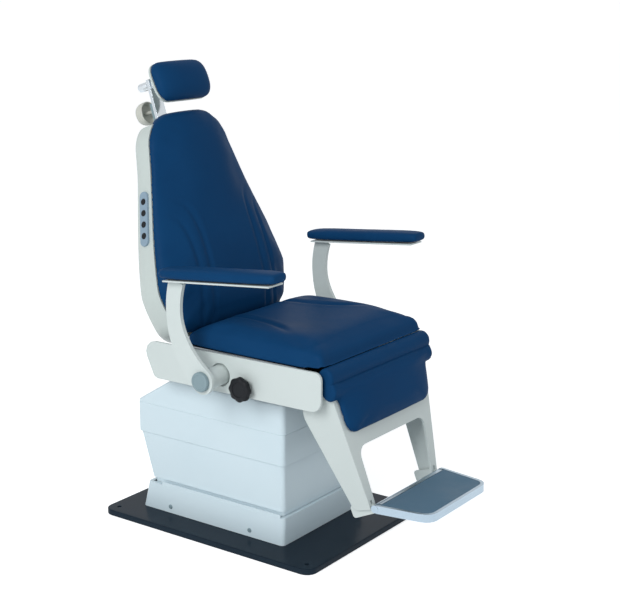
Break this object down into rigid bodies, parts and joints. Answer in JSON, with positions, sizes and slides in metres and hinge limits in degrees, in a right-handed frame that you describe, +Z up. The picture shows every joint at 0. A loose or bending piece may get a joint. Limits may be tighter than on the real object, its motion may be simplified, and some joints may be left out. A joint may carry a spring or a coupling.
{
  "type": "ear nose and throat examination chair",
  "caption": "Reclining ENT examination chair in navy vinyl and white, on a lifting box base with a swivel seat, fold-up armrests, coupled legrest, folding footplate and sliding headrest.",
  "frame": {"origin": "on the floor, on the swivel axis, at the centre of the base plate's underside", "axes": "+Z up, the chair faces -Y, the patient's right hand is at -X"},
  "size_m": [0.714, 1.0648, 1.2533],
  "materials": {
    "navy_vinyl": "smooth vinyl",
    "frame_white": "gloss paint",
    "shell_white": "smooth",
    "cover_white": "smooth",
    "slate_steel": "gloss paint",
    "plain_steel": "plain",
    "bright_chrome": "polished",
    "aluminium": "satin",
    "grey_rubber": "ribbed",
    "black_plastic": "matt",
    "ivory_plastic": "smooth",
    "grey_plastic": "satin",
    "strip_plastic": "satin"
  },
  "bodies": {
    "base": {"base_plate": "slate_steel", "base_skirt": "cover_white", "skirt_screw_left_front": "grey_plastic", "skirt_screw_left_rear": "grey_plastic", "skirt_screw_right_front": "grey_plastic", "skirt_screw_right_rear": "grey_plastic", "inner_sleeve": "cover_white", "guide_column_outer": "plain_steel", "lift_actuator_body": "black_plastic", "power_inlet": "black_plastic"},
    "lift": {"guide_column_inner": "plain_steel", "swivel_platform": "plain_steel", "middle_cover": "cover_white", "top_cover": "cover_white", "swivel_lower_ring": "slate_steel", "lift_actuator_rod": "bright_chrome"},
    "lower_box": {"lower_cover": "cover_white"},
    "seat": {"swivel_upper_ring": "slate_steel", "seat_cross_frame": "slate_steel", "brake_clamp": "plain_steel", "seat_side_plate_left": "frame_white", "seat_side_plate_right": "frame_white", "seat_pan": "plain_steel", "seat_cushion": "navy_vinyl", "back_pivot_shaft": "plain_steel", "legrest_pivot_shaft": "plain_steel", "recline_actuator_body": "black_plastic"},
    "recline_rod": {"recline_actuator_rod": "bright_chrome"},
    "lock": {"lock_knob": "black_plastic"},
    "back": {"back_crank": "plain_steel", "back_frame": "slate_steel", "back_shell": "shell_white", "back_cushion": "navy_vinyl", "headrest_guide": "grey_plastic", "control_strip": "strip_plastic"},
    "link": {"legrest_link": "plain_steel"},
    "legrest": {"legrest_frame": "frame_white", "legrest_crank": "plain_steel", "leg_cushion": "navy_vinyl", "foot_bracket_left": "frame_white", "foot_bracket_right": "frame_white"},
    "footplate": {"footplate_tray": "aluminium", "footplate_mat": "grey_rubber"},
    "arm_left": {"armrest_bracket_left": "frame_white", "armrest_pad_left": "navy_vinyl", "armrest_pin_left": "grey_plastic"},
    "arm_right": {"armrest_bracket_right": "frame_white", "armrest_pad_right": "navy_vinyl", "armrest_pin_right": "grey_plastic"},
    "headrest_post": {"headrest_bar": "bright_chrome"},
    "height_knob": {"headrest_hand_knob": "ivory_plastic"},
    "headrest": {"headrest_bracket": "bright_chrome", "headrest_shell": "shell_white", "headrest_cushion": "navy_vinyl"},
    "tilt_knob": {"headrest_tilt_knob": "bright_chrome"},
    "key_lift_up": {"key_lift_up": "black_plastic"},
    "key_lift_down": {"key_lift_down": "black_plastic"},
    "key_back_up": {"key_back_up": "black_plastic"},
    "key_back_down": {"key_back_down": "black_plastic"}
  },
  "joints": [
    {"name": "lift", "type": "slide", "parent": "base", "child": "lift", "axis": [0, 0, 1], "range_m": [0, 0.14]},
    {"name": "lower_box_rise", "type": "slide", "parent": "base", "child": "lower_box", "axis": [0, 0, 1], "range_m": [0, 0.07]},
    {"name": "swivel", "type": "hinge", "parent": "lift", "child": "seat", "pos_m": [0, 0, 0.4115], "axis": [0, 0, 1], "range_deg": [-170, 170]},
    {"name": "lock_turn", "type": "hinge", "parent": "seat", "child": "lock", "pos_m": [0, -0.141, 0.4565], "axis": [-1, 0, 0], "range_deg": [0, 180]},
    {"name": "recline", "type": "hinge", "parent": "seat", "child": "back", "pos_m": [0, 0.12, 0.5], "axis": [-1, 0, 0], "range_deg": [0, 55]},
    {"name": "recline_stroke", "type": "slide", "parent": "seat", "child": "recline_rod", "axis": [0, -1, 0], "range_m": [0, 0.04166]},
    {"name": "legrest_raise", "type": "hinge", "parent": "seat", "child": "legrest", "pos_m": [0, -0.347, 0.492], "axis": [-1, 0, 0], "range_deg": [0, 55]},
    {"name": "link_swing", "type": "hinge", "parent": "back", "child": "link", "pos_m": [0, 0.14078, 0.46009], "axis": [-1, 0, 0], "range_deg": [-55, 0]},
    {"name": "footplate_fold", "type": "hinge", "parent": "legrest", "child": "footplate", "pos_m": [0, -0.48368, 0.1795], "axis": [-1, 0, 0], "range_deg": [0, 70]},
    {"name": "arm_left_fold", "type": "hinge", "parent": "seat", "child": "arm_left", "pos_m": [0.319, -0.06, 0.477], "axis": [-1, 0, 0], "range_deg": [0, 90]},
    {"name": "arm_right_fold", "type": "hinge", "parent": "seat", "child": "arm_right", "pos_m": [-0.319, -0.06, 0.477], "axis": [-1, 0, 0], "range_deg": [0, 90]},
    {"name": "headrest_height", "type": "slide", "parent": "back", "child": "headrest_post", "axis": [0, 0.3007, 0.9537], "range_m": [0, 0.1]},
    {"name": "height_knob_turn", "type": "hinge", "parent": "back", "child": "height_knob", "pos_m": [0, 0.37419, 1.10664], "axis": [0, 0.9537, -0.3007], "range_deg": [0, 180]},
    {"name": "headrest_tilt", "type": "hinge", "parent": "headrest_post", "child": "headrest", "pos_m": [0, 0.35006, 1.18974], "axis": [-1, 0, 0], "range_deg": [-20, 15]},
    {"name": "tilt_knob_turn", "type": "hinge", "parent": "headrest_post", "child": "tilt_knob", "pos_m": [0, 0.39393, 1.17591], "axis": [0, 0.9537, -0.3007], "range_deg": [0, 180]},
    {"name": "lift_up_press", "type": "slide", "parent": "back", "child": "key_lift_up", "axis": [0.9527, -0.1441, -0.2674], "range_m": [0, 0.0008], "stiffness_N_per_m": 400, "springref_m": -0.001},
    {"name": "lift_down_press", "type": "slide", "parent": "back", "child": "key_lift_down", "axis": [0.9527, -0.1441, -0.2674], "range_m": [0, 0.0008], "stiffness_N_per_m": 400, "springref_m": -0.001},
    {"name": "back_up_press", "type": "slide", "parent": "back", "child": "key_back_up", "axis": [0.9527, -0.1441, -0.2674], "range_m": [0, 0.0008], "stiffness_N_per_m": 400, "springref_m": -0.001},
    {"name": "back_down_press", "type": "slide", "parent": "back", "child": "key_back_down", "axis": [0.9527, -0.1441, -0.2674], "range_m": [0, 0.0008], "stiffness_N_per_m": 400, "springref_m": -0.001}
  ],
  "couplings": [
    {"joint": "lower_box_rise", "follows": "lift", "ratio": 0.5},
    {"joint": "recline_stroke", "follows": "recline", "m_per_rad": 0.043292},
    {"joint": "legrest_raise", "follows": "recline", "ratio": 1},
    {"joint": "link_swing", "follows": "recline", "ratio": -1}
  ]
}
